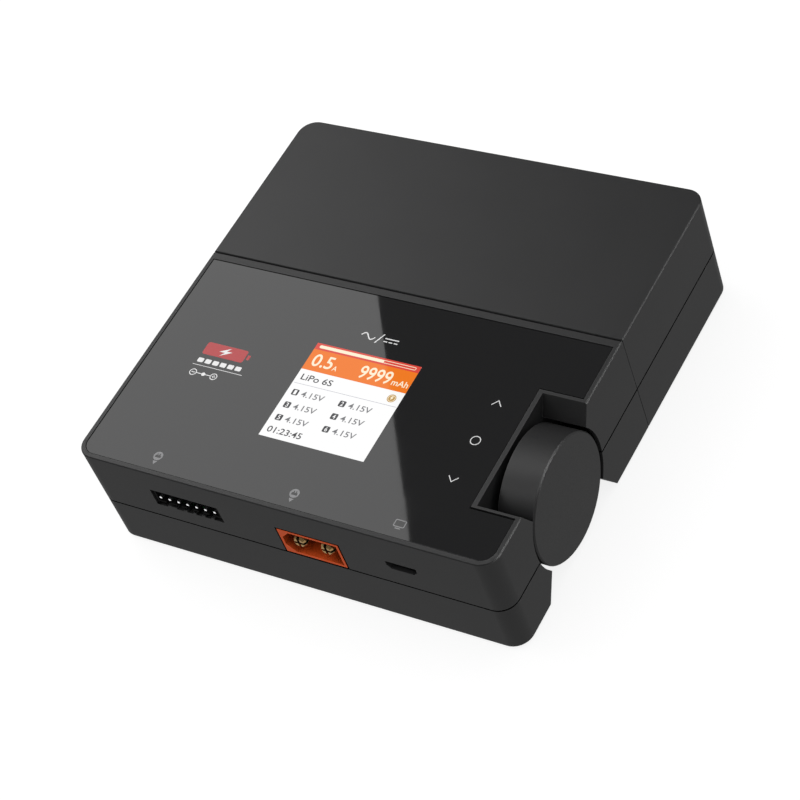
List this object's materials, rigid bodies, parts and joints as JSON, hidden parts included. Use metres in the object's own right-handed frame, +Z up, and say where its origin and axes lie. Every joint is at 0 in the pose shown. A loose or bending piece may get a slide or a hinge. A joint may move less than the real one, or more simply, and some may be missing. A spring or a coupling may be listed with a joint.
{
  "type": "balance battery charger",
  "caption": "Flat two-module battery charger: glass-topped DC charger with screen, front ports and a rotary side input, docked to a plain AC power supply.",
  "frame": {"origin": "on the resting plane under the middle of the two docked modules", "axes": "+Z up, the port face looks to -Y, +X to the right"},
  "size_m": [0.11, 0.11, 0.032],
  "materials": {
    "case_plastic": "fine moulded texture, dark grey",
    "panel_glass": "gloss black printed glass",
    "display": "lit colour screen",
    "black_plastic": "black moulded connector plastic",
    "orange_plastic": "orange nylon connector plastic",
    "gold_contact": "gold-plated contact",
    "steel": "nickel-plated steel",
    "tin_contact": "bright tinned pin",
    "aluminium": "extruded aluminium",
    "circuit_board": "green solder mask",
    "foot_rubber": "matte black rubber",
    "ferrite": "grey ferrite",
    "winding_tape": "yellow polyester tape",
    "capacitor_sleeve": "blue shrink sleeve",
    "flex_film": "amber polyimide film"
  },
  "bodies": {
    "dc_charger": {"balance_pin_1": "tin_contact", "balance_pin_2": "tin_contact", "balance_pin_3": "tin_contact", "balance_pin_4": "tin_contact", "balance_pin_5": "tin_contact", "balance_pin_6": "tin_contact", "balance_pin_7": "tin_contact", "balance_socket": "black_plastic", "dc_capacitor": "capacitor_sleeve", "dc_foot_front": "foot_rubber", "dc_foot_rear": "foot_rubber", "dc_lower_shell": "case_plastic", "dc_screw_1": "steel", "dc_screw_2": "steel", "dc_screw_3": "steel", "dc_screw_4": "steel", "dc_upper_shell": "case_plastic", "fan_frame": "black_plastic", "glass_panel": "panel_glass", "heat_sink": "aluminium", "inductor_1": "ferrite", "inductor_2": "ferrite", "main_board": "circuit_board", "output_contact_negative": "gold_contact", "output_contact_positive": "gold_contact", "output_socket": "orange_plastic", "screen_module": "display", "screen_ribbon": "flex_film", "touch_key_board": "circuit_board", "usb_shell": "steel", "usb_tongue": "black_plastic"},
    "input_disc": {"disc_clip": "steel", "disc_cover": "case_plastic", "disc_hub": "case_plastic", "disc_washer": "steel", "input_block": "orange_plastic", "input_contact_negative": "gold_contact", "input_contact_positive": "gold_contact"},
    "fan": {"fan_rotor": "black_plastic"},
    "ac_module": {"ac_board": "circuit_board", "ac_foot_front": "foot_rubber", "ac_foot_rear": "foot_rubber", "ac_heat_sink": "aluminium", "ac_inlet": "black_plastic", "ac_inlet_pin_1": "tin_contact", "ac_inlet_pin_2": "tin_contact", "ac_lower_shell": "case_plastic", "ac_plug": "black_plastic", "ac_plug_contact_negative": "gold_contact", "ac_plug_contact_positive": "gold_contact", "ac_screw_1": "steel", "ac_screw_2": "steel", "ac_screw_3": "steel", "ac_screw_4": "steel", "ac_upper_shell": "case_plastic", "mains_capacitor": "capacitor_sleeve", "mains_choke": "winding_tape", "transformer_core": "ferrite", "transformer_winding": "winding_tape"}
  },
  "joints": [
    {"name": "input_disc_turn", "type": "hinge", "parent": "dc_charger", "child": "input_disc", "pos_m": [0.05045, -0.0251, 0.017], "axis": [1, 0, 0], "range_deg": [-90, 90]},
    {"name": "fan_spin", "type": "hinge", "parent": "dc_charger", "child": "fan", "pos_m": [-0.026, -0.024, 0.0066], "axis": [0, 0, 1], "continuous": true},
    {"name": "dock_slide", "type": "slide", "parent": "dc_charger", "child": "ac_module", "axis": [0, 1, 0], "range_m": [0, 0.06]}
  ]
}
